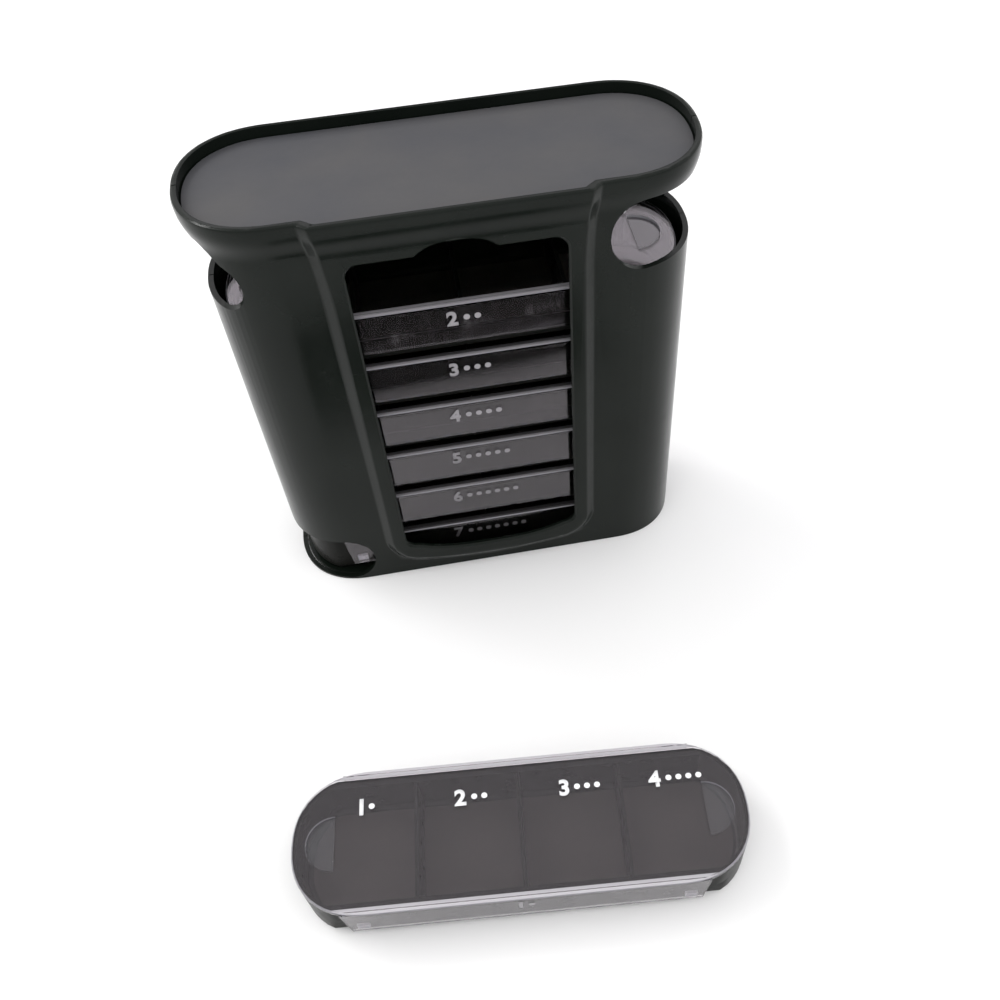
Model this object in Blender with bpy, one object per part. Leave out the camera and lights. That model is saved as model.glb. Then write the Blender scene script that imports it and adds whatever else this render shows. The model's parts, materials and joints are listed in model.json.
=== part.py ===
"""A weekly pill box: a tower with a stack of trays under sliding lids, and one tray lying in front."""

import math

import bmesh
import bpy

for leftover in list(bpy.data.objects):
    bpy.data.objects.remove(leftover, do_unlink=True)

# Lengths are in metres. X runs along the tower, the window looks towards -Y, and Z is up.

# Clearances and overruns
fit_gap = 0.0003
parting_gap = 0.0003
cut_overrun = 0.004
flat_tolerance = 0.0000001

# Tower body
body_length = 0.1220
body_depth = 0.0422
body_height = 0.126
body_wall = 0.0014
end_fullness = 2.25
end_steps = 18

# Rim round the top and the flare under it
rim_overhang = 0.0014
rim_width = 0.0016
rim_height = 0.0022
rim_rounding = 0.0007
flare_height = 0.0072
deck_recess = 0.0026
deck_thickness = 0.0010
ledge_thickness = 0.0024

# Raised panel on the front
panel_rise = 0.0022
panel_from_end = 0.0279
panel_spread = 0.0019
panel_spread_drop = 0.0221
panel_step_width = 0.0033
panel_ease_share = 0.2
panel_corner = 0.0095
panel_low_middle = 0.0026
panel_low_bow = 0.0042

# Window in the panel
window_border = 0.00675
window_drop = 0.0118
window_low_side = 0.0138
window_low_middle = 0.0103
window_corner = 0.0034
window_chamfer = 0.0005
arch_half_width = 0.0098
arch_rise = 0.0029

# Openings in the round ends
entry_height = 0.0191
entry_radius = 0.0094
entry_reach = 0.0241
exit_reach = 0.0239
exit_clearance = 0.0012
finger_radius = 0.0070
finger_reach = 0.0105
finger_height = 0.0179
finger_shoulder = 0.0030
finger_sweep = 150

# Base plate and stack of trays
floor_thickness = 0.0007
tray_names = ("monday", "tuesday", "wednesday", "thursday", "friday", "saturday", "sunday")
tray_end_clearance = 0.0015
tray_side_clearance = 0.0005
stack_clearance = 0.0030
tray_steps = 12
foot_steps = 3

# Tray body
rail_height = 0.0061
rail_step = 0.0009
tray_wall = 0.0012
tray_floor = 0.0013
foot_rounding = 0.0020
pocket_rounding = 0.0015
divider_thickness = 0.0010
end_pocket_extra = 0.0049
divider_drop = 0.0004

# Sliding lid
lid_thickness = 0.0014
lid_rounding = 0.0004
flange_thickness = 0.0009
flange_inset = 0.00035
flange_drop = 0.0118
flange_run_on = 0.0053
flange_slant = 0.0014
lug_half_length = 0.0016
lug_height = 0.0020
lug_reach = 0.0008
lug_from_end = 0.0030
grip_radius = 0.0073
grip_from_end = 0.0108
grip_depth = 0.0007
grip_steps = 16

# Edges that turn by more degrees than this stay crisp when shaded
sharp_turn = 30

# Tray lying in front of the tower
loose_tray_x = -0.0071
loose_tray_y = -0.1215
loose_tray_turn = -5.2

# Heights and sizes that follow from the values above
end_radius = body_depth / 2
end_centre = body_length / 2 - end_radius
rim_low = body_height - rim_height
flare_low = rim_low - flare_height
deck_top = body_height - deck_recess
deck_low = deck_top - deck_thickness
ledge_top = deck_low - fit_gap
ledge_low = ledge_top - ledge_thickness
panel_half_width = body_length / 2 - panel_from_end
panel_spread_from = rim_low - panel_spread_drop
window_half_width = panel_half_width - window_border
window_top = body_height - window_drop
entry_sill = ledge_low - entry_height
finger_sill = ledge_low - finger_height
stack_low = floor_thickness + fit_gap
stacked_count = len(tray_names) - 1
tray_pitch = (entry_sill - stack_clearance - stack_low) / stacked_count
tray_height = tray_pitch - fit_gap
tray_length = body_length - 2 * (body_wall + tray_end_clearance)
tray_half_width = end_radius - body_wall - tray_side_clearance
tray_centre = tray_length / 2 - tray_half_width
tray_top = tray_height - lid_thickness - fit_gap
rail_low = tray_top - rail_height
rail_half_width = tray_half_width - flange_inset - flange_thickness - fit_gap
skirt_half_width = rail_half_width - rail_step
divider_pitch = (tray_length / 2 - end_pocket_extra) / 2
flange_half_length = tray_centre + flange_run_on
exit_sill = floor_thickness
exit_top = stack_low + tray_height + exit_clearance


def power(value, exponent):
    """A signed power, for the fuller-than-round ends."""
    return math.copysign(abs(value) ** exponent, value)


def end_points(radius, centre, steps):
    """The right-hand end of a plan, from the front round to the back."""
    points = []
    for step in range(2 * steps + 1):
        angle = math.radians(90) * (step / steps - 1)
        x = centre + radius * power(math.cos(angle), 2 / end_fullness)
        y = radius * power(math.sin(angle), 2 / end_fullness)
        points.append((x, y))
    return points


def plan_points(radius, centre, steps, side, columns=()):
    """A long plan with full ends, no wider than its side allows, with extra points along its front."""
    right = end_points(radius, centre, steps)
    left = [(-x, y) for x, y in reversed(right)]
    front = [(x, -radius) for x in columns]
    limited = [(x, math.copysign(min(abs(y), side), y)) for x, y in right + left + front]
    return limited


def is_warped(face):
    """Whether the corners of a face lie off one plane."""
    corners = [vert.co for vert in face.verts]
    return any(abs((corner - corners[0]).dot(face.normal)) > flat_tolerance for corner in corners)


def mesh_through(name, rings):
    """A closed mesh through rings of equal counts, capped at both ends."""
    shape = bmesh.new()
    rows = [[shape.verts.new(point) for point in ring] for ring in rings]
    for lower, upper in zip(rows, rows[1:]):
        for start in range(len(lower)):
            end = (start + 1) % len(lower)
            shape.faces.new((lower[start], lower[end], upper[end], upper[start]))
    shape.faces.new(rows[0])
    shape.faces.new(rows[-1])
    bmesh.ops.recalc_face_normals(shape, faces=shape.faces)
    bmesh.ops.triangulate(shape, faces=[face for face in shape.faces if is_warped(face)])
    mesh = bpy.data.meshes.new(name)
    shape.to_mesh(mesh)
    shape.free()
    return mesh


def mesh_of_boxes(name, boxes):
    """One mesh holding a box for each pair of corners."""
    shape = bmesh.new()
    for low, high in boxes:
        made = bmesh.ops.create_cube(shape, size=1)["verts"]
        for vert in made:
            for axis in range(3):
                share = vert.co[axis] + 1 / 2
                vert.co[axis] = low[axis] + share * (high[axis] - low[axis])
    mesh = bpy.data.meshes.new(name)
    shape.to_mesh(mesh)
    shape.free()
    return mesh


def mesh_across(name, outline, low, high):
    """An outline given in X and Z, carried along Y from low to high."""
    rings = [[(x, y, z) for x, z in outline] for y in (low, high)]
    return mesh_through(name, rings)


def add_object(name, mesh):
    obj = bpy.data.objects.new(name, mesh)
    bpy.context.scene.collection.objects.link(obj)
    return obj


def add_cutter(name, mesh):
    obj = add_object(name, mesh)
    obj.hide_render = True
    obj.display_type = "WIRE"
    return obj


def combine(obj, other, operation):
    """Cuts the other object out of this one, or joins it on."""
    modifier = obj.modifiers.new(other.name, "BOOLEAN")
    modifier.operation = operation
    modifier.object = other
    modifier.solver = "EXACT"


def make_material(name, colour, roughness, alpha=1.0):
    material = bpy.data.materials.new(name)
    material.use_nodes = True
    shader = material.node_tree.nodes["Principled BSDF"]
    shader.inputs["Base Color"].default_value = (*colour, 1.0)
    shader.inputs["Roughness"].default_value = roughness
    shader.inputs["Metallic"].default_value = 0.0
    shader.inputs["Alpha"].default_value = alpha
    return material


def eased_slope(share):
    """Climbs from 0 to 1 in a straight slope with both of its ends rounded off."""
    share = min(max(share, 0), 1)
    if share > 1 / 2:
        return 1 - eased_slope(1 - share)
    slope = 1 / (1 - panel_ease_share)
    if share < panel_ease_share:
        return slope * share * share / (2 * panel_ease_share)
    return slope * (share - panel_ease_share / 2)


def panel_edge(z):
    """Half the panel's width at this height."""
    spread_share = max(z - panel_spread_from, 0) / (body_height - panel_spread_from)
    return panel_half_width + panel_spread * spread_share ** 2


def panel_depth(x, z, inset):
    """How far the panel stands out at this place on the front. An inset draws its border inwards."""
    edge = panel_edge(z) - inset
    low = panel_low_middle + panel_low_bow * (x / panel_half_width) ** 2 + inset
    from_side = edge - abs(x)
    from_low = z - low
    corner = panel_corner - inset
    if from_side < corner and from_low < corner:
        inside = corner - math.hypot(corner - from_side, corner - from_low)
    else:
        inside = min(from_side, from_low)
    return panel_rise * eased_slope(inside / panel_step_width)


def flare_at(z):
    """How far the wall has spread at this height on its way to the rim."""
    share = min(max((z - flare_low) / flare_height, 0), 1)
    return rim_overhang * (1 - math.cos(math.pi * share)) / 2


def spaced(low, high, count):
    """Evenly spaced values from low to high, both of them included."""
    return [low + (high - low) * step / count for step in range(count + 1)]


def panel_columns(z, inset):
    """Places along the front at this height, close together where the panel's border and corners run."""
    edge = panel_edge(z) - inset
    border_count = 8
    corner_count = 7
    middle_count = 6
    inner = edge - panel_step_width
    middle = inner - panel_corner
    right = spaced(middle, inner, corner_count) + spaced(inner, edge, border_count)[1:]
    across = spaced(-middle, middle, middle_count)[1:-1]
    return [-x for x in reversed(right)] + across + right


def tower_ring(z, offset, inset, with_panel):
    """A plan of the tower at one height, with or without the panel on its front."""
    radius = end_radius + offset
    columns = panel_columns(z, inset) if with_panel else []
    ring = []
    for x, y in plan_points(radius, end_centre, end_steps, radius, columns):
        shift = panel_depth(x, z, inset) if with_panel and y <= -radius else 0
        ring.append((x, y - shift, z))
    return ring


def tower_heights(low, high, with_panel):
    """Heights for the rings of the tower's wall, close together where its shape changes."""
    upper_count = 5
    flare_count = 9
    border_count = 15
    heights = spaced(panel_spread_from, flare_low, upper_count) + spaced(flare_low, rim_low, flare_count)[1:]
    if with_panel:
        border_top = panel_low_middle + panel_low_bow + panel_corner
        border_low = panel_low_middle - panel_step_width / 2
        heights = spaced(border_low, border_top, border_count) + heights
    return [low] + [height for height in heights if low < height < high] + [high]


def outer_wall(with_panel):
    heights = tower_heights(0, body_height - rim_rounding, with_panel)
    rings = [tower_ring(z, flare_at(z), 0, with_panel) for z in heights]
    for share in (1 / 2, 1):
        angle = math.radians(90) * share
        inset = rim_rounding * (1 - math.cos(angle))
        z = body_height - rim_rounding * (1 - math.sin(angle))
        rings.append(tower_ring(z, rim_overhang - inset, inset, with_panel))
    return mesh_through("outer_wall", rings)


def cavity_cut(with_panel):
    top = ledge_top + fit_gap
    heights = tower_heights(0, top, with_panel) if with_panel else (0, top)
    rings = [tower_ring(z, -body_wall, body_wall, with_panel) for z in heights]
    below = [(x, y, -cut_overrun) for x, y, z in rings[0]]
    return mesh_through("cavity", [below] + rings)


def deck_ring(z, gap, with_panel):
    """The outline of the recess in the top, drawn in by a gap."""
    outline = tower_ring(body_height, rim_overhang - rim_width - gap, rim_width + gap, with_panel)
    return [(x, y, z) for x, y, top in outline]


def recess_cut(with_panel):
    levels = (ledge_top, body_height + cut_overrun)
    return mesh_through("recess", [deck_ring(z, 0, with_panel) for z in levels])


def window_outline(extra):
    """The window's outline in X and Z, grown by an extra all round."""
    low_side = window_low_side + window_corner
    high_side = window_top - window_corner
    inner = window_half_width - window_corner
    corner_steps = 7
    points = []
    for step in range(corner_steps + 1):
        angle = math.radians(90) * step / corner_steps
        x = inner + window_corner * math.cos(angle)
        points.append((x, high_side + window_corner * math.sin(angle)))
    arch_steps = 16
    for step in range(arch_steps + 1):
        share = 1 - 2 * step / arch_steps
        rise = arch_rise * (1 - abs(share) ** 3)
        points.append((arch_half_width * share, window_top + rise))
    for step in range(corner_steps + 1):
        angle = math.radians(90) * (1 + step / corner_steps)
        x = -inner + window_corner * math.cos(angle)
        points.append((x, high_side + window_corner * math.sin(angle)))
    for step in range(corner_steps):
        angle = math.radians(90) * (2 + step / corner_steps)
        x = -inner + window_corner * math.cos(angle)
        points.append((x, low_side + window_corner * math.sin(angle)))
    bow_steps = 12
    for step in range(bow_steps + 1):
        share = 2 * step / bow_steps - 1
        z = window_low_middle + (window_low_side - window_low_middle) * abs(share) ** 3
        points.append((inner * share, z))
    for step in range(1, corner_steps + 1):
        angle = math.radians(90) * (3 + step / corner_steps)
        x = inner + window_corner * math.cos(angle)
        points.append((x, low_side + window_corner * math.sin(angle)))
    middle = (window_top + window_low_side) / 2
    half_height = (window_top - window_low_side) / 2
    wider = 1 + extra / window_half_width
    taller = 1 + extra / half_height
    return [(x * wider, middle + (z - middle) * taller) for x, z in points]


def window_cut():
    face = -(end_radius + panel_rise)
    sections = (
        (face - cut_overrun, window_chamfer),
        (face, window_chamfer),
        (face + window_chamfer, 0),
        (face + panel_rise + body_wall + cut_overrun, 0),
    )
    rings = [[(x, y, z) for x, z in window_outline(extra)] for y, extra in sections]
    return mesh_through("window_cut", rings)


def slot_outline(reach, low, high, radius):
    """An opening that runs in from beyond the right-hand end and closes in rounded corners."""
    inner = body_length / 2 - reach + radius
    outer = body_length / 2 + rim_overhang + cut_overrun
    steps = 14
    points = [(outer, low)]
    for step in range(steps + 1):
        angle = math.radians(-90) * (1 + step / steps)
        points.append((inner + radius * math.cos(angle), low + radius + radius * math.sin(angle)))
    for step in range(steps + 1):
        angle = math.radians(-90) * (2 + step / steps)
        points.append((inner + radius * math.cos(angle), high - radius + radius * math.sin(angle)))
    points.append((outer, high))
    unique = []
    for point in points:
        if not unique or math.dist(point, unique[-1]) > fit_gap / 10:
            unique.append(point)
    return unique


def finger_outline():
    """The smaller opening at the left-hand end, whose top climbs to the underside of the rim."""
    inner = -(body_length / 2 - finger_reach + finger_radius)
    outer = -(body_length / 2 + rim_overhang + cut_overrun)
    centre = finger_sill + finger_radius
    points = [(outer, finger_sill)]
    steps = 20
    for step in range(steps + 1):
        angle = math.radians(finger_sweep * step / steps - 90)
        points.append((inner + finger_radius * math.cos(angle), centre + finger_radius * math.sin(angle)))
    points.append((-(body_length / 2 - finger_shoulder), ledge_low))
    points.append((outer, ledge_low))
    return points


def end_openings():
    low = -(end_radius + panel_rise + cut_overrun)
    high = end_radius + rim_overhang + cut_overrun
    entry = slot_outline(entry_reach, entry_sill, ledge_low, entry_radius)
    exit_half = (exit_top - exit_sill) / 2
    exit_slot = [(-x, z) for x, z in slot_outline(exit_reach, exit_sill, exit_top, exit_half)]
    outlines = {"entry": entry, "exit": exit_slot, "finger": finger_outline()}
    return [
        add_cutter(name + "_opening", mesh_across(name + "_opening", outline, low, high))
        for name, outline in outlines.items()
    ]


def half_space(name, side):
    """A block that covers the tower on one side of its parting plane."""
    reach_x = body_length / 2 + rim_overhang + cut_overrun
    reach_y = end_radius + rim_overhang + panel_rise + cut_overrun
    near = parting_gap / 2
    low_y, high_y = (-near, reach_y) if side > 0 else (-reach_y, near)
    low = (-reach_x, low_y, -cut_overrun)
    high = (reach_x, high_y, body_height + cut_overrun)
    return add_cutter(name, mesh_of_boxes(name, [(low, high)]))


def build_shell(name, with_panel, other_half, cutters, material):
    """Half of the tower's housing, cut away at the parting plane."""
    shell = add_object(name, outer_wall(with_panel))
    cavity = add_cutter(name + "_cavity", cavity_cut(with_panel))
    recess = add_cutter(name + "_recess", recess_cut(with_panel))
    for cutter in [other_half, cavity, recess] + cutters:
        combine(shell, cutter, "DIFFERENCE")
    shell.data.materials.append(material)


def build_tower(shell_material, deck_material):
    window = add_cutter("window", window_cut())
    openings = end_openings()
    front_cutters = [window] + openings
    build_shell("front_shell", True, half_space("behind", 1), front_cutters, shell_material)
    build_shell("back_shell", False, half_space("ahead", -1), openings, shell_material)
    deck_rings = [deck_ring(z, fit_gap, True) for z in (deck_low, deck_top)]
    deck = add_object("top_deck", mesh_through("top_deck", deck_rings))
    deck.data.materials.append(deck_material)
    plate_inset = body_wall + fit_gap
    plate_rings = [
        [(x, y, z) for x, y in plan_points(end_radius - plate_inset, end_centre, end_steps, end_radius)]
        for z in (0, floor_thickness)
    ]
    base = add_object("base_plate", mesh_through("base_plate", plate_rings))
    base.data.materials.append(shell_material)


def tray_ring(z, inset, side):
    outline = plan_points(tray_half_width - inset, tray_centre, tray_steps, side - inset)
    return [(x, y, z) for x, y in outline]


def tray_mesh():
    """The tray's body: rounded foot, stepped sides for the lid's rails, and a row of pockets."""
    rings = []
    for step in range(foot_steps):
        angle = math.radians(90) * step / foot_steps
        inset = foot_rounding * (1 - math.sin(angle))
        rings.append(tray_ring(foot_rounding * (1 - math.cos(angle)), inset, skirt_half_width))
    rings.append(tray_ring(foot_rounding, 0, skirt_half_width))
    rings.append(tray_ring(rail_low - rail_step, 0, skirt_half_width))
    rings.append(tray_ring(rail_low, 0, rail_half_width))
    rings.append(tray_ring(tray_top, 0, rail_half_width))
    body = add_cutter("tray_body", mesh_through("tray_body", rings))
    inside = skirt_half_width
    pocket = []
    for step in range(foot_steps):
        angle = math.radians(90) * step / foot_steps
        inset = tray_wall + pocket_rounding * (1 - math.sin(angle))
        pocket.append(tray_ring(tray_floor + pocket_rounding * (1 - math.cos(angle)), inset, inside))
    pocket.append(tray_ring(tray_floor + pocket_rounding, tray_wall, inside))
    pocket.append(tray_ring(tray_height, tray_wall, inside))
    combine(body, add_cutter("tray_pocket", mesh_through("tray_pocket", pocket)), "DIFFERENCE")
    half = divider_thickness / 2
    reach = inside - tray_wall / 2
    bottom = tray_floor / 2
    top = tray_top - divider_drop
    slabs = [
        ((place * divider_pitch - half, -reach, bottom), (place * divider_pitch + half, reach, top))
        for place in (-1, 0, 1)
    ]
    combine(body, add_cutter("tray_dividers", mesh_of_boxes("tray_dividers", slabs)), "UNION")
    return settled_mesh(body, "tray")


def grip_outline(side):
    """The half disc that a thumb pushes against near one end of the lid."""
    flat = side * (tray_length / 2 - grip_from_end)
    points = []
    for step in range(grip_steps + 1):
        angle = math.radians(90) * (2 * step / grip_steps - 1)
        points.append((flat + side * grip_radius * math.cos(angle), grip_radius * math.sin(angle)))
    return points


def lid_mesh():
    """The lid: a thin plate, a flange down each long side with lugs inside, and two thumb grips."""
    side = tray_half_width
    low = tray_height - lid_thickness
    rings = [tray_ring(low, 0, side), tray_ring(tray_height - lid_rounding, 0, side)]
    rings.append(tray_ring(tray_height, lid_rounding, side))
    plate = add_cutter("lid_plate", mesh_through("lid_plate", rings))
    outer = tray_half_width - flange_inset
    inner = outer - flange_thickness
    top = tray_height - lid_thickness / 2
    bottom = tray_height - flange_drop
    wide = flange_half_length + flange_slant
    shape = [(-flange_half_length, bottom), (flange_half_length, bottom), (wide, top), (-wide, top)]
    lug_x = flange_half_length - lug_from_end
    lug_top = rail_low - rail_step - fit_gap
    lug_low = lug_top - lug_height
    joined = []
    for sign in (-1, 1):
        near, far = sorted((sign * inner, sign * outer))
        joined.append(add_cutter("flange", mesh_across("flange", shape, near, far)))
        tip, root = sorted((sign * (inner - lug_reach), sign * (inner + flange_thickness / 2)))
        lugs = []
        for place in (-1, 1):
            low_corner = (place * lug_x - lug_half_length, tip, lug_low)
            high_corner = (place * lug_x + lug_half_length, root, lug_top)
            lugs.append((low_corner, high_corner))
        joined.append(add_cutter("lugs", mesh_of_boxes("lugs", lugs)))
    for piece in joined:
        combine(plate, piece, "UNION")
    for sign in (-1, 1):
        outline = grip_outline(sign)
        levels = (tray_height - grip_depth, tray_height + cut_overrun)
        rings = [[(x, y, z) for x, y in outline] for z in levels]
        combine(plate, add_cutter("grip", mesh_through("grip", rings)), "DIFFERENCE")
    return settled_mesh(plate, "lid")


def settled_mesh(obj, name):
    """A plain copy of the object's mesh with its modifiers worked in."""
    bpy.context.view_layer.update()
    graph = bpy.context.evaluated_depsgraph_get()
    mesh = bpy.data.meshes.new_from_object(obj.evaluated_get(graph))
    mesh.name = name
    mesh.materials.clear()
    return mesh


def build_trays(tray_material, lid_material):
    body = tray_mesh()
    cover = lid_mesh()
    body.materials.append(tray_material)
    cover.materials.append(lid_material)
    for place, name in enumerate(tray_names):
        tray = add_object(name + "_tray", body)
        lid = add_object(name + "_lid", cover)
        lid.parent = tray
        if place == 0:
            tray.location = (loose_tray_x, loose_tray_y, 0)
            tray.rotation_euler.z = math.radians(loose_tray_turn)
        else:
            tray.location.z = stack_low + (stacked_count - place) * tray_pitch


shell_plastic = make_material("shell_plastic", (0.024, 0.027, 0.024), 0.28)
deck_plastic = make_material("deck_plastic", (0.11, 0.112, 0.116), 0.5)
tray_plastic = make_material("tray_plastic", (0.03, 0.031, 0.028), 0.35)
lid_plastic = make_material("lid_plastic", (0.62, 0.64, 0.68), 0.12, 0.35)

build_tower(shell_plastic, deck_plastic)
build_trays(tray_plastic, lid_plastic)

for obj in bpy.context.scene.objects:
    if not obj.hide_render:
        obj.data.shade_smooth()
        obj.data.set_sharp_from_angle(angle=math.radians(sharp_turn))
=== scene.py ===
"""The looks of a weekly pill box: finishes, printed numbers and dots, floor, light and camera."""

import json
import math

import bmesh
import bpy
from mathutils import Matrix, Vector

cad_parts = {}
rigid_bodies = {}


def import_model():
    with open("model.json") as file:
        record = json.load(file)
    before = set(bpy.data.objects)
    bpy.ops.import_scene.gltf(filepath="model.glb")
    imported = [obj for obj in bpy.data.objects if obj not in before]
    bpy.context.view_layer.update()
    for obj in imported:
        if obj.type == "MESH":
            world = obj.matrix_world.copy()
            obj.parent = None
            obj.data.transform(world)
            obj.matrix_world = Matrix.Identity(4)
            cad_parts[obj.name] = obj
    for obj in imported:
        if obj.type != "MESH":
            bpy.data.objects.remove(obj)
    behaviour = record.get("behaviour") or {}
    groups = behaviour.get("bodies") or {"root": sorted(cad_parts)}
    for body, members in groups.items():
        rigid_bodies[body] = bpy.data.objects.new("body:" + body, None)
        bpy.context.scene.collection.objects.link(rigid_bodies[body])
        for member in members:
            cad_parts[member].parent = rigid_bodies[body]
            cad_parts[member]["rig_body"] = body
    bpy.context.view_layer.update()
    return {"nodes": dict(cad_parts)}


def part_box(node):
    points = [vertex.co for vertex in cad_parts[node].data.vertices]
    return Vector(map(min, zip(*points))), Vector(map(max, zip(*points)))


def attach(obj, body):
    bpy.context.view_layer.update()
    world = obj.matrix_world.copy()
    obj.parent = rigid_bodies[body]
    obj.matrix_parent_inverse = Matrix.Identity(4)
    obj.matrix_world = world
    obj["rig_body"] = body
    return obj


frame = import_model()
nodes = frame["nodes"]

# Lengths are in metres and angles in degrees, in the frame of the CAD model.

# Trays, from the loose one in front to the lowest in the tower
day_names = ("monday", "tuesday", "wednesday", "thursday", "friday", "saturday", "sunday")
loose_day = "monday"
loose_turn = -5.2
# The day whose lid is on top of the stack and shows in the upper openings, where its grip takes a
# darker floor as painted shade and a lighter wall as painted light
top_day = "tuesday"

# Measures of a tray and its lid, by which their faces are told apart
tray_height = 0.0158
tray_half_width = 0.0192
tray_centre = 0.0389
end_fullness = 2.25
tray_floor = 0.0013
lid_rounding = 0.0006
flange_inset = 0.00035
flange_thickness = 0.0009
lug_top = 0.0069
grip_depth = 0.0007
grip_half_width = 0.0080
grip_reach = 0.0160
tolerance = 0.00005
# How much a face's normal points along an axis when it looks that way, and when it looks aside
upward = 0.9
sideways = 0.3
tray_wall, compartment_floor, tray_end_inside = range(3)
clear_part, outer_edge, grip_floor_part, lug, grip_side = range(5)

# Softened edges and welded seams of the CAD pieces
shell_edge_radius = 0.0002
tray_edge_radius = 0.00015
lid_edge_radius = 0.00012
edge_steps = 2
softened_angle = 35
weld_distance = 0.000001

# Patterns in the opaque finishes: levels of detail, and how strong the finest are
broad_detail = 4
fine_detail = 3
gloss_detail = 5
gloss_unevenness = 0.6
gloss_patches_per_mottle = 3

# Clear plastic, with its smears and ripples
clear_ior = 1.49
clear_shine = (1.0, 0.945, 0.995, 1.0)
smear_size = 0.012
smear_detail = 5
smear_unevenness = 0.65
smear_tone = 0.96
ripple_size = 0.0022
ripple_detail = 2
ripple_depth = 0.0000008

# Ribs along the long edges of each lid, whose light finishes are painted highlights of those edges
rib_bands = {"inner": (0.01730, 0.01815), "outer": (0.01840, 0.01908)}
rib_half_length = 0.0480
rib_taper = 0.0012
rib_height = 0.00012
rib_overlap = 0.00005
rib_edge_gap = 0.00012
rib_edge_softness = 0.00005
rib_end_steps = 6

# Printed marks
print_gap = 0.00003
print_thickness = 0.00008
flange_digit_height = 0.0043
flange_dot_radius = 0.00082
flange_dot_step = 0.0028
flange_mark_height = 0.0113
lid_digit_height = 0.0046
lid_dot_radius = 0.00078
lid_dot_step = 0.0026
lid_mark_y = 0.0092
lid_mark_places = (-0.0390, -0.0122, 0.0160, 0.0408)
digit_weight = 0.00018
digit_smoothness = 6
dot_sides = 28
first_dot_share = 0.8
same_place = 1e-7

# Camera, found from the photograph
focal_share = 1.0039
sensor_width = 36
camera_place = (-0.01023, -0.22647, 0.25326)
camera_turn = -7.17
camera_height_angle = 54.59
camera_roll = -3.72
camera_shift = (-0.04645, 0.1162)
nearest_seen = 0.005
farthest_seen = 20

# Floor
floor_half = 3.0
floor_drop = 0.00015
floor_tones = ((0.88, 0.88, 0.885), (0.91, 0.91, 0.91))
floor_patch_size = 0.6
floor_grain_size = 0.0008
floor_grain_depth = 0.00001
floor_detail = 3
floor_roughness = 0.9
floor_specular = 0.1

# The even light around the scene, and its dark patch: its strength, the way to it, and the cosines
# of the angle to its middle between which the light falls off
studio_strength = 1.0
dark_strength = 0.1
dark_towards = (0.05, 0.9, 0.44)
dark_from = 0.93
dark_to = 0.985

# Each light's name, place, target, size, power and colour
lights = (
    ("left_window", (-0.9, 0.3, 0.9), (0, -0.05, 0.03), (0.7, 0.7), 4.5, (1.0, 0.985, 0.965)),
    ("left_panel", (-0.60, 0.52, 0.93), (-0.05, 0, 0.12), (0.34, 0.10), 1.6, (1.0, 0.99, 1.0)),
    ("back_panel", (0.05, 1.0, 0.86), (0, 0, 0.1), (0.95, 0.2), 0.95, (1.0, 0.955, 1.01)),
    ("front_strip", (0, -0.4, 1.0), (0, -0.05, 0.06), (0.9, 0.16), 1.6, (1.0, 1.0, 1.0)),
    ("right_fill", (0.9, -0.3, 0.6), (0, -0.05, 0.05), (0.5, 0.8), 1.5, (1.0, 0.95, 0.98)),
)


def new_material(name):
    material = bpy.data.materials.new(name)
    material.use_nodes = True
    tree = material.node_tree
    return material, tree, tree.nodes["Principled BSDF"]


def noise(tree, place, size, detail, roughness=0.5):
    """A noise pattern in the object's own space, whose features are about this size."""
    texture = tree.nodes.new("ShaderNodeTexNoise")
    texture.inputs["Scale"].default_value = 1 / size
    texture.inputs["Detail"].default_value = detail
    texture.inputs["Roughness"].default_value = roughness
    tree.links.new(place.outputs["Object"], texture.inputs["Vector"])
    return texture


def remap(tree, source, low, high, from_low=0.3, from_high=0.7):
    """The source's middle range stretched between two values."""
    mapped = tree.nodes.new("ShaderNodeMapRange")
    mapped.inputs["From Min"].default_value = from_low
    mapped.inputs["From Max"].default_value = from_high
    mapped.inputs["To Min"].default_value = low
    mapped.inputs["To Max"].default_value = high
    tree.links.new(source, mapped.inputs["Value"])
    return mapped.outputs["Result"]


def blend_colours(tree, share, first, second):
    mix = tree.nodes.new("ShaderNodeMix")
    mix.data_type = "RGBA"
    mix.inputs["A"].default_value = (*first, 1)
    mix.inputs["B"].default_value = (*second, 1)
    tree.links.new(share, mix.inputs["Factor"])
    return mix.outputs["Result"]


def bump(tree, source, depth, below=None):
    node = tree.nodes.new("ShaderNodeBump")
    node.inputs["Strength"].default_value = 1.0
    node.inputs["Distance"].default_value = depth
    tree.links.new(source, node.inputs["Height"])
    if below:
        tree.links.new(below, node.inputs["Normal"])
    return node.outputs["Normal"]


def plastic(name, colours, rough, mottle, grain, grain_depth, wave_depth=0.0, specular=0.5):
    """An opaque moulded plastic: soft mottling in its colour and gloss, and a fine grain."""
    material, tree, shader = new_material(name)
    place = tree.nodes.new("ShaderNodeTexCoord")
    broad = noise(tree, place, mottle, broad_detail)
    fine = noise(tree, place, grain, fine_detail)
    share = remap(tree, broad.outputs["Fac"], 0, 1)
    tree.links.new(blend_colours(tree, share, *colours), shader.inputs["Base Color"])
    gloss_size = mottle / gloss_patches_per_mottle
    gloss = noise(tree, place, gloss_size, gloss_detail, gloss_unevenness)
    tree.links.new(remap(tree, gloss.outputs["Fac"], *rough), shader.inputs["Roughness"])
    normal = bump(tree, fine.outputs["Fac"], grain_depth)
    if wave_depth:
        normal = bump(tree, broad.outputs["Fac"], wave_depth, normal)
    tree.links.new(normal, shader.inputs["Normal"])
    shader.inputs["Specular IOR Level"].default_value = specular
    return material


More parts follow.
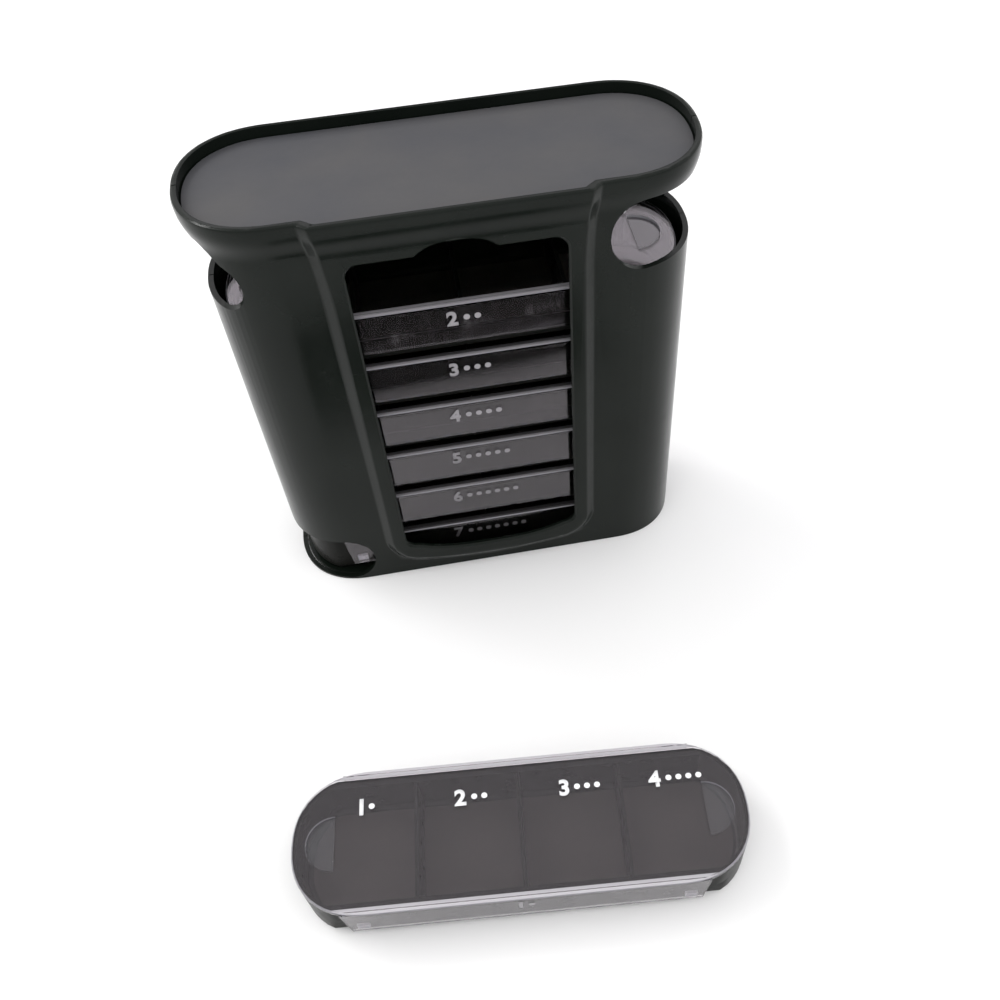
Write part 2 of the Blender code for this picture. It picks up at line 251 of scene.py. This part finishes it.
def clear_plastic(name, tint, rough, clarity=1.0):
    """A clear plastic with faint smears and fine ripples. With less clarity it turns milky."""
    material, tree, shader = new_material(name)
    place = tree.nodes.new("ShaderNodeTexCoord")
    smear = noise(tree, place, smear_size, smear_detail, smear_unevenness)
    share = remap(tree, smear.outputs["Fac"], 0, 1)
    darker = tuple(smear_tone * value for value in tint)
    tree.links.new(blend_colours(tree, share, tint, darker), shader.inputs["Base Color"])
    tree.links.new(remap(tree, smear.outputs["Fac"], *rough), shader.inputs["Roughness"])
    fine = noise(tree, place, ripple_size, ripple_detail)
    tree.links.new(bump(tree, fine.outputs["Fac"], ripple_depth), shader.inputs["Normal"])
    shader.inputs["Transmission Weight"].default_value = clarity
    shader.inputs["IOR"].default_value = clear_ior
    shader.inputs["Specular Tint"].default_value = clear_shine
    return material


def dress(node, materials, edge_radius, place=None, choose=None):
    """Gives a CAD node its finishes, smooth round surfaces and slightly softened edges."""
    obj = nodes[node]
    obj.data.materials.clear()
    for material in materials:
        obj.data.materials.append(material)
    if choose:
        inward = place.inverted()
        for face in obj.data.polygons:
            face.material_index = choose(inward @ face.center, face.normal)
    stored = obj.data.attributes.get("custom_normal")
    if stored:
        obj.data.attributes.remove(stored)
    obj.data.shade_smooth()
    weld = obj.modifiers.new("weld", "WELD")
    weld.merge_threshold = weld_distance
    bevel = obj.modifiers.new("soft_edges", "BEVEL")
    bevel.width = edge_radius
    bevel.segments = edge_steps
    bevel.limit_method = "ANGLE"
    bevel.angle_limit = math.radians(softened_angle)
    obj.modifiers.new("weighted_normals", "WEIGHTED_NORMAL")


def tray_finish_at(centre, normal):
    """Which of a tray's finishes a face takes."""
    on_floor = abs(centre.z - tray_floor) < tolerance and normal.z > upward
    if on_floor:
        return compartment_floor
    # The inner wall of the right end takes a lighter finish: painted light, as if the side light
    # fell on it
    on_end = centre.x > tray_centre and centre.z > tray_floor and normal.x < -sideways
    return tray_end_inside if on_end else tray_wall


def lid_finish_at(centre, normal):
    """Which of a lid's finishes a face takes."""
    on_edge = centre.z > tray_height - lid_rounding and sideways < normal.z < upward
    inner_face = tray_half_width - flange_inset - flange_thickness
    on_lug = centre.z < lug_top and abs(centre.y) < inner_face - 2 * tolerance
    grip_floor = tray_height - grip_depth
    on_grip = abs(centre.z - grip_floor) < tolerance and normal.z > upward
    within_depth = grip_floor + tolerance < centre.z < tray_height - tolerance
    near_grip = abs(centre.y) < grip_half_width and abs(centre.x) < tray_centre + grip_reach
    # The grip's walls take a milky, lighter finish: a painted highlight outlining the grip
    if within_depth and near_grip and abs(normal.z) < sideways:
        return grip_side
    # The rounded top edge takes a milky, lighter finish: a painted highlight
    if on_edge:
        return outer_edge
    # The lugs take a milky, lighter finish: a painted highlight
    if on_lug:
        return lug
    return grip_floor_part if on_grip else clear_part


def digit_shape(number, height):
    """The digit's outline as flat faces, centred on the origin."""
    curve = bpy.data.curves.new("digit", "FONT")
    curve.body = str(number)
    curve.align_x = "CENTER"
    curve.offset = digit_weight / height
    curve.resolution_u = digit_smoothness
    source = bpy.data.objects.new("digit", curve)
    bpy.context.scene.collection.objects.link(source)
    bpy.context.view_layer.update()
    graph = bpy.context.evaluated_depsgraph_get()
    mesh = bpy.data.meshes.new_from_object(source.evaluated_get(graph))
    bpy.data.objects.remove(source, do_unlink=True)
    shape = bmesh.new()
    shape.from_mesh(mesh)
    bpy.data.meshes.remove(mesh)
    xs = [vert.co.x for vert in shape.verts]
    ys = [vert.co.y for vert in shape.verts]
    middle = Vector(((min(xs) + max(xs)) / 2, (min(ys) + max(ys)) / 2, 0))
    scale = height / (max(ys) - min(ys))
    for vert in shape.verts:
        vert.co = (vert.co - middle) * scale
    return shape, (max(xs) - min(xs)) * scale


def mark_mesh(name, number, digit_height, dot_radius, dot_step):
    """A digit with as many dots beside it, as one thin layer of print lying in the XY plane."""
    shape, width = digit_shape(number, digit_height)
    first = width / 2 + dot_step * first_dot_share
    for dot in range(number):
        circle = bmesh.ops.create_circle(
            shape, cap_ends=True, radius=dot_radius, segments=dot_sides
        )
        bmesh.ops.translate(shape, verts=circle["verts"], vec=(first + dot * dot_step, 0, 0))
    bmesh.ops.remove_doubles(shape, verts=shape.verts, dist=same_place)
    flat = list(shape.faces)
    lifted = bmesh.ops.extrude_face_region(shape, geom=flat)["geom"]
    upper = [item for item in lifted if isinstance(item, bmesh.types.BMVert)]
    bmesh.ops.translate(shape, verts=upper, vec=(0, 0, print_thickness))
    bmesh.ops.recalc_face_normals(shape, faces=shape.faces)
    xs = [vert.co.x for vert in shape.verts]
    bmesh.ops.translate(shape, verts=shape.verts, vec=(-(min(xs) + max(xs)) / 2, 0, 0))
    mesh = bpy.data.meshes.new(name)
    shape.to_mesh(mesh)
    shape.free()
    return mesh


def tray_place(day):
    """Where the tray's own frame lies: its middle, on its underside."""
    low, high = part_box(day + "_tray")
    centre = (low + high) / 2
    turn = math.radians(loose_turn) if day == loose_day else 0
    return Matrix.Translation((centre.x, centre.y, low.z)) @ Matrix.Rotation(turn, 4, "Z")


def body_of(node):
    return nodes[node]["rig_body"]


def add_mark(name, mesh, place, node, material):
    mesh = mesh.copy()
    mesh.transform(place)
    mesh.materials.clear()
    mesh.materials.append(material)
    obj = bpy.data.objects.new(name, mesh)
    bpy.context.scene.collection.objects.link(obj)
    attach(obj, body_of(node))
    return obj


def add_marks(flange_materials, lid_material):
    lid_marks = [
        mark_mesh("cell_mark", number, lid_digit_height, lid_dot_radius, lid_dot_step)
        for number in range(1, len(lid_mark_places) + 1)
    ]
    face = tray_half_width - flange_inset + print_gap
    upright = Matrix.Rotation(math.radians(90), 4, "X")
    top = tray_height + print_gap
    for count, (day, flange_material) in enumerate(zip(day_names, flange_materials), 1):
        place = tray_place(day)
        lid = day + "_lid"
        mark = mark_mesh("day_mark", count, flange_digit_height, flange_dot_radius, flange_dot_step)
        on_flange = place @ Matrix.Translation((0, -face, flange_mark_height)) @ upright
        add_mark(day + "_flange_mark", mark, on_flange, lid, flange_material)
        for number, (x, lid_mark) in enumerate(zip(lid_mark_places, lid_marks), 1):
            on_lid = place @ Matrix.Translation((x, lid_mark_y, top))
            add_mark(f"{day}_cell_{number}_mark", lid_mark, on_lid, lid, lid_material)


def lid_edge_at(x):
    """How far from the middle line the lid's long edge runs at this place."""
    share = max(abs(x) - tray_centre, 0) / tray_half_width
    return tray_half_width * (1 - share ** end_fullness) ** (1 / end_fullness)


def rib_bed(band):
    """The plan of a rib, which narrows where the lid's edge turns in at its ends."""
    near, far = rib_bands[band]
    run = rib_half_length - tray_centre
    right = [tray_centre + run * step / rib_end_steps for step in range(rib_end_steps + 1)]
    along = [-x for x in reversed(right)] + right
    inner = [(x, min(near, lid_edge_at(x) - 2 * rib_edge_gap)) for x in along]
    outer = [(x, min(far, lid_edge_at(x) - rib_edge_gap)) for x in reversed(along)]
    return inner + outer


def rib_mesh(band):
    """A low rib along each long edge of a lid, tapering off at its ends."""
    shape = bmesh.new()
    low = tray_height - rib_overlap
    high = tray_height + rib_height
    bed = rib_bed(band)
    shrink = (rib_half_length - rib_taper) / rib_half_length
    for sign in (-1, 1):
        lower = [shape.verts.new((x, sign * y, low)) for x, y in bed]
        upper = [shape.verts.new((x * shrink, sign * y, high)) for x, y in bed]
        shape.faces.new(lower)
        shape.faces.new(upper)
        for start in range(len(bed)):
            end = (start + 1) % len(bed)
            shape.faces.new((lower[start], lower[end], upper[end], upper[start]))
    bmesh.ops.recalc_face_normals(shape, faces=shape.faces)
    mesh = bpy.data.meshes.new("lid_ribs")
    shape.to_mesh(mesh)
    shape.free()
    return mesh


def add_ribs(band, materials):
    """One band of ribs on every lid, light as painted highlights, each with the finish for its
    place in the stack.
    """
    ribs = rib_mesh(band)
    for day, material in zip(day_names, materials):
        piece = add_mark(f"{day}_lid_{band}_ribs", ribs, tray_place(day), day + "_lid", material)
        softened = piece.modifiers.new("soft_edges", "BEVEL")
        softened.width = rib_edge_softness
        softened.segments = edge_steps
        softened.limit_method = "ANGLE"


def add_floor():
    size = floor_half
    corners = [(-size, -size), (size, -size), (size, size), (-size, size)]
    mesh = bpy.data.meshes.new("floor")
    mesh.from_pydata([(x, y, -floor_drop) for x, y in corners], [], [(0, 1, 2, 3)])
    material, tree, shader = new_material("floor_paper")
    place = tree.nodes.new("ShaderNodeTexCoord")
    broad = noise(tree, place, floor_patch_size, floor_detail)
    share = remap(tree, broad.outputs["Fac"], 0, 1)
    tree.links.new(blend_colours(tree, share, *floor_tones), shader.inputs["Base Color"])
    fine = noise(tree, place, floor_grain_size, floor_detail)
    tree.links.new(bump(tree, fine.outputs["Fac"], floor_grain_depth), shader.inputs["Normal"])
    shader.inputs["Roughness"].default_value = floor_roughness
    shader.inputs["Specular IOR Level"].default_value = floor_specular
    mesh.materials.append(material)
    floor = bpy.data.objects.new("floor", mesh)
    bpy.context.scene.collection.objects.link(floor)


def add_light(name, place, target, size, power, colour):
    """A soft rectangular light that faces its target."""
    data = bpy.data.lights.new(name, "AREA")
    data.shape = "RECTANGLE"
    data.size, data.size_y = size
    data.energy = power
    data.color = colour
    light = bpy.data.objects.new(name, data)
    bpy.context.scene.collection.objects.link(light)
    direction = Vector(target) - Vector(place)
    light.location = place
    light.rotation_euler = direction.to_track_quat("-Z", "Y").to_euler()


def add_world():
    """An even studio light with a dark patch in one direction.

    The patch darkens what faces it, as a black card would, and the backdrop itself stays even.
    """
    world = bpy.data.worlds.new("studio")
    world.use_nodes = True
    tree = world.node_tree
    background = tree.nodes["Background"]
    background.inputs["Color"].default_value = (1, 1, 1, 1)
    way = tree.nodes.new("ShaderNodeTexCoord")
    towards = tree.nodes.new("ShaderNodeVectorMath")
    towards.operation = "DOT_PRODUCT"
    towards.inputs[1].default_value = Vector(dark_towards).normalized()
    tree.links.new(way.outputs["Generated"], towards.inputs[0])
    cosine = towards.outputs["Value"]
    level = remap(tree, cosine, studio_strength, dark_strength, dark_from, dark_to)
    path = tree.nodes.new("ShaderNodeLightPath")
    even = tree.nodes.new("ShaderNodeMix")
    even.inputs["B"].default_value = studio_strength
    tree.links.new(path.outputs["Is Camera Ray"], even.inputs["Factor"])
    tree.links.new(level, even.inputs["A"])
    tree.links.new(even.outputs["Result"], background.inputs["Strength"])
    bpy.context.scene.world = world


def add_camera():
    turn = math.radians(camera_turn)
    height = math.radians(camera_height_angle)
    roll = math.radians(camera_roll)
    back = Vector((
        math.sin(turn) * math.cos(height),
        -math.cos(turn) * math.cos(height),
        math.sin(height),
    ))
    right = Vector((math.cos(turn), math.sin(turn), 0))
    up = back.cross(right)
    rolled_right = math.cos(roll) * right + math.sin(roll) * up
    rolled_up = math.cos(roll) * up - math.sin(roll) * right
    data = bpy.data.cameras.new("camera")
    data.sensor_width = sensor_width
    data.lens = sensor_width * focal_share
    data.shift_x, data.shift_y = camera_shift
    data.clip_start = nearest_seen
    data.clip_end = farthest_seen
    camera = bpy.data.objects.new("camera", data)
    bpy.context.scene.collection.objects.link(camera)
    matrix = Matrix((rolled_right, rolled_up, back)).transposed().to_4x4()
    matrix.translation = camera_place
    camera.matrix_world = matrix
    bpy.context.scene.camera = camera


add_camera()

shell_tones = ((0.003, 0.005, 0.0035), (0.006, 0.0085, 0.0065))
deck_tones = ((0.059, 0.060, 0.067), (0.073, 0.0715, 0.0735))
tray_tones = ((0.006, 0.007, 0.006), (0.010, 0.010, 0.009))
painted_end_light_tones = ((0.055, 0.056, 0.052), (0.070, 0.070, 0.066))
base_tones = ((0.038, 0.033, 0.029), (0.050, 0.043, 0.038))
ink_tones = ((0.80, 0.80, 0.82), (0.88, 0.88, 0.89))

shell = plastic(
    "shell_finish", shell_tones, rough=(0.18, 0.25), mottle=0.02, grain=0.0005,
    grain_depth=0.000003, wave_depth=0.00008, specular=0.17,
)
deck = plastic(
    "deck_finish", deck_tones, rough=(0.5, 0.62), mottle=0.025, grain=0.0006,
    grain_depth=0.00001, specular=0.3,
)
tray = plastic(
    "tray_finish", tray_tones, rough=(0.25, 0.35), mottle=0.012, grain=0.0005,
    grain_depth=0.000004, specular=0.05,
)
# A lighter copy of the tray plastic for the inside of the right end: painted light
painted_end_light = plastic(
    "painted_end_light_finish", painted_end_light_tones, rough=(0.4, 0.5), mottle=0.012, grain=0.0005,
    grain_depth=0.000004, specular=0.3,
)
tray_base = plastic(
    "tray_base_finish", base_tones, rough=(0.5, 0.65), mottle=0.009, grain=0.0004,
    grain_depth=0.000012, specular=0.25,
)
lid = clear_plastic("lid_finish", (0.93, 0.90, 0.93), rough=(0.04, 0.06))
# A milky, lighter finish for the lid's rounded top edge: a painted highlight
painted_edge_highlight = clear_plastic(
    "painted_edge_highlight_finish", (0.42, 0.41, 0.45), rough=(0.45, 0.55), clarity=0.5
)
lid_grip = clear_plastic(
    "lid_grip_finish", (0.86, 0.87, 0.92), rough=(0.12, 0.2), clarity=0.97
)
# A milky, lighter finish for the lugs: a painted highlight
painted_lug_highlight = clear_plastic(
    "painted_lug_highlight_finish", (0.80, 0.79, 0.84), rough=(0.25, 0.35), clarity=0.25
)
# Milky, lighter walls for the thumb grip: a painted highlight outlining it
painted_grip_wall_highlight = clear_plastic(
    "painted_grip_wall_highlight_finish", (0.30, 0.29, 0.32), rough=(0.45, 0.55), clarity=0.3
)
# Copies of the grip finishes for the top lid inside the tower: an opaque, darker floor as painted
# shade, and an opaque, lighter wall as painted light
shaded_grip = clear_plastic(
    "shaded_grip_finish", (0.16, 0.155, 0.165), rough=(0.05, 0.08), clarity=0.0
)
shaded_grip_wall = clear_plastic(
    "shaded_grip_wall_finish", (0.50, 0.49, 0.53), rough=(0.45, 0.55), clarity=0.0
)
cell_ink = plastic(
    "cell_ink", ink_tones, rough=(0.5, 0.6), mottle=0.004, grain=0.0003, grain_depth=0.000004
)

# How light the day marks and the lids' ribs are, from the loose tray down the stack: painted shade,
# darker the lower a tray lies in the tower
mark_levels = (0.34, 0.32, 0.30, 0.30, 0.24, 0.22, 0.075)
inner_rib_levels = (0.40, 0.20, 0.03, 0.03, 0.03, 0.03, 0.012)
outer_rib_levels = (0.46, 0.30, 0.22, 0.20, 0.20, 0.20, 0.05)
# The two hues that mottle them, at a level of one
mark_hues = ((0.93, 0.90, 0.95), (1.0, 0.96, 1.02))
rib_highlight_hues = ((0.97, 0.93, 1.0), (1.0, 0.98, 1.04))


def at_level(hues, level):
    return tuple(tuple(part * level for part in hue) for hue in hues)


# The day mark's print, darkened by painted shade for its place in the stack
def mark_finish(day, level):
    return plastic(
        day + "_ink", at_level(mark_hues, level), rough=(0.5, 0.6), mottle=0.004,
        grain=0.0003, grain_depth=0.000004,
    )


# A rib's painted highlight, dimmed by painted shade for its place in the stack
def rib_finish(day, band, level):
    return plastic(
        f"{day}_{band}_rib_finish", at_level(rib_highlight_hues, level), rough=(0.4, 0.5), mottle=0.006,
        grain=0.0003, grain_depth=0.000004,
    )


mark_inks_and_shade = [mark_finish(day, level) for day, level in zip(day_names, mark_levels)]

for node in ("front_shell", "back_shell", "base_plate"):
    dress(node, [shell], shell_edge_radius)
dress("top_deck", [deck], shell_edge_radius)
for day in day_names:
    place = tray_place(day)
    # The top lid's grip takes the copies with painted shade and painted light
    shaded = day == top_day
    grip = shaded_grip if shaded else lid_grip
    grip_wall = shaded_grip_wall if shaded else painted_grip_wall_highlight
    lid_finishes = [lid, painted_edge_highlight, grip, painted_lug_highlight, grip_wall]
    dress(day + "_tray", [tray, tray_base, painted_end_light], tray_edge_radius, place, tray_finish_at)
    dress(day + "_lid", lid_finishes, lid_edge_radius, place, lid_finish_at)

add_marks(mark_inks_and_shade, cell_ink)
for band, levels in (("inner", inner_rib_levels), ("outer", outer_rib_levels)):
    add_ribs(band, [rib_finish(day, band, level) for day, level in zip(day_names, levels)])
add_floor()
add_world()
for light in lights:
    add_light(*light)
bpy.context.scene.view_settings.view_transform = "Standard"
